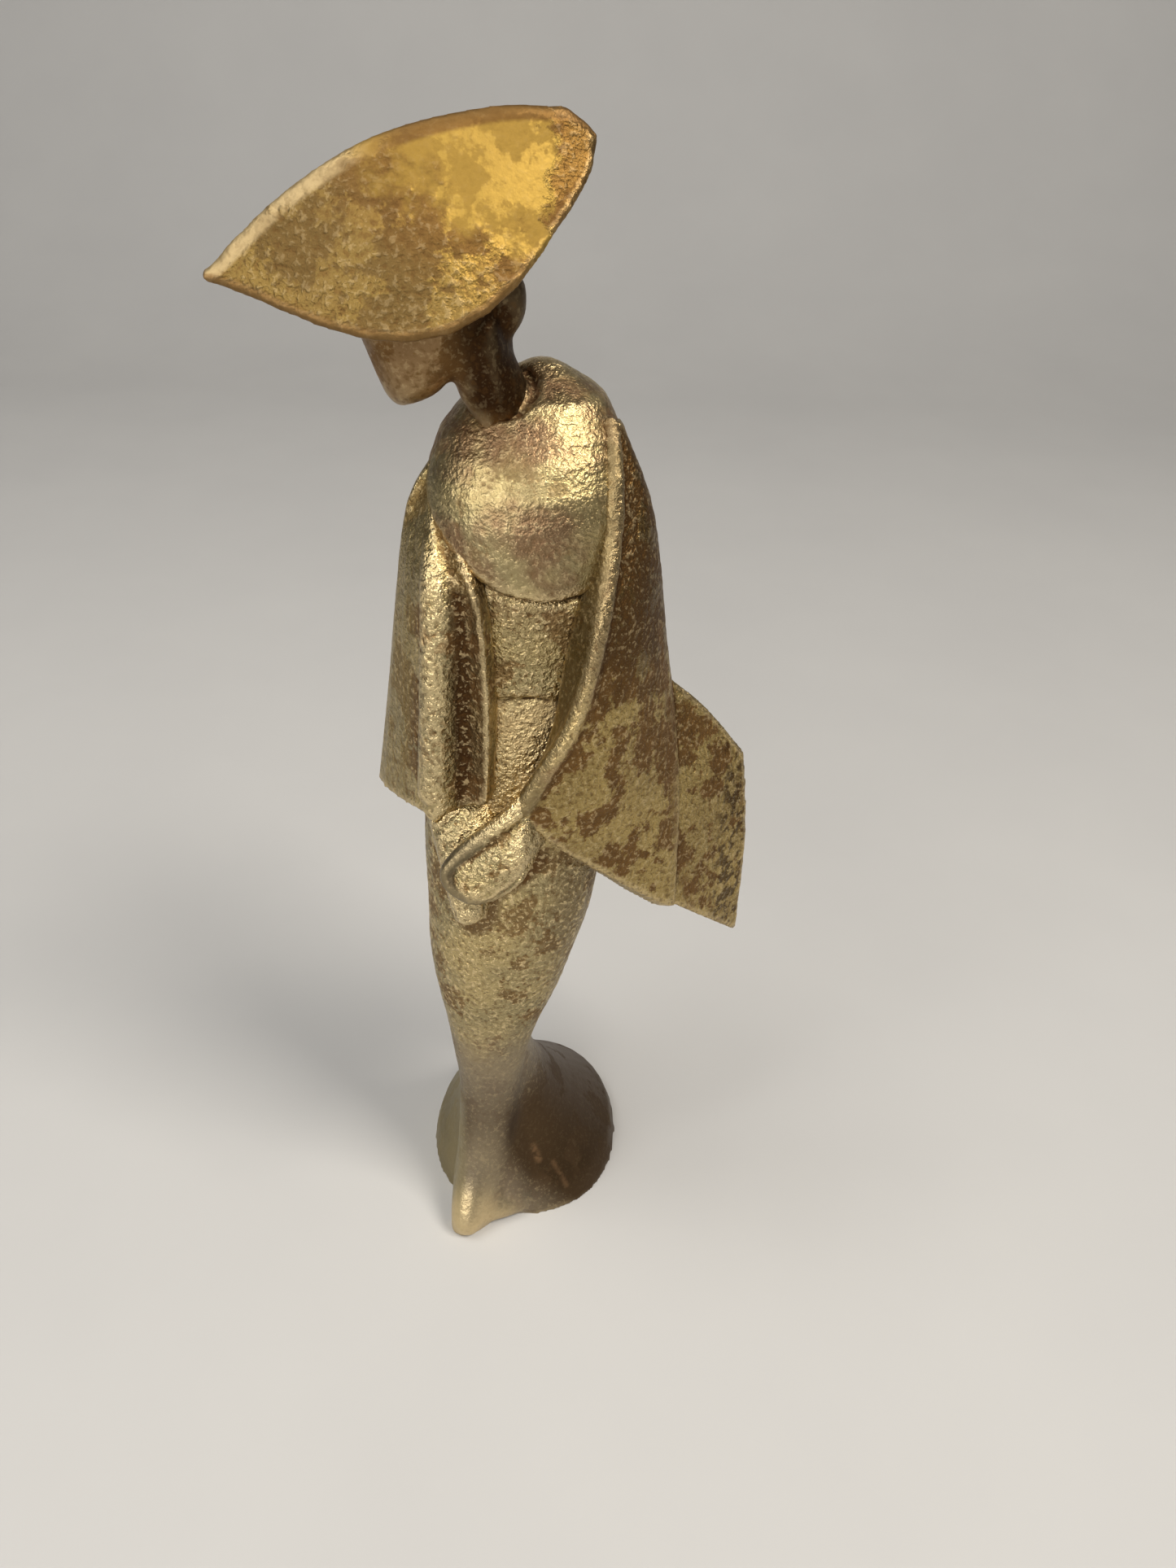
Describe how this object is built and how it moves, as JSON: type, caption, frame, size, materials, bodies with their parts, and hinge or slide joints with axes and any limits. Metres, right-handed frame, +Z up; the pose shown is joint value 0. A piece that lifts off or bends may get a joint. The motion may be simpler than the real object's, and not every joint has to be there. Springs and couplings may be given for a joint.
{
  "type": "souvenir figurine",
  "caption": "Cast-brass souvenir figurine of a robed dancer with bowed head, folded straw hat, crossed hands and a flared hem it stands on.",
  "frame": {"origin": "on the resting plane, under the middle of the figurine's box", "axes": "+Z up; -Y the way the dancer's chest faces; +X towards the dancer's left, the side with the swung-out rear sleeve panel"},
  "size_m": [0.0696, 0.0472, 0.1738],
  "materials": {
    "robe_casting": "sand-cast skin, brown patina, worn bright on the ridges",
    "head_casting": "smoother cast skin, dark brown patina",
    "hat_casting": "coarse cast skin, gold with brown patches",
    "right_sleeve_casting": "sand-cast skin, olive gold",
    "left_sleeve_casting": "sand-cast skin, olive gold with brown patches",
    "right_hand_casting": "cast skin, soft shine",
    "left_hand_casting": "cast skin, worn bright on top",
    "dowel_steel": "plain drawn rod",
    "pin_brass": "plain drawn rod",
    "sole_brass": "rolled plate, lightly tarnished",
    "screw_steel": "machined",
    "felt": "dark green felt"
  },
  "bodies": {
    "root": {"robe": "robe_casting", "head": "head_casting", "hat": "hat_casting", "right_sleeve": "right_sleeve_casting", "left_sleeve": "left_sleeve_casting", "right_hand": "right_hand_casting", "left_hand": "left_hand_casting", "neck_dowel": "dowel_steel", "hat_pin": "pin_brass", "right_sleeve_dowel_upper": "dowel_steel", "right_sleeve_dowel_lower": "dowel_steel", "left_sleeve_dowel_upper": "dowel_steel", "left_sleeve_dowel_lower": "dowel_steel", "right_hand_pin": "pin_brass", "left_hand_pin": "pin_brass", "sole_plate": "sole_brass", "sole_screw": "screw_steel", "felt_pad": "felt"}
  },
  "joints": []
}
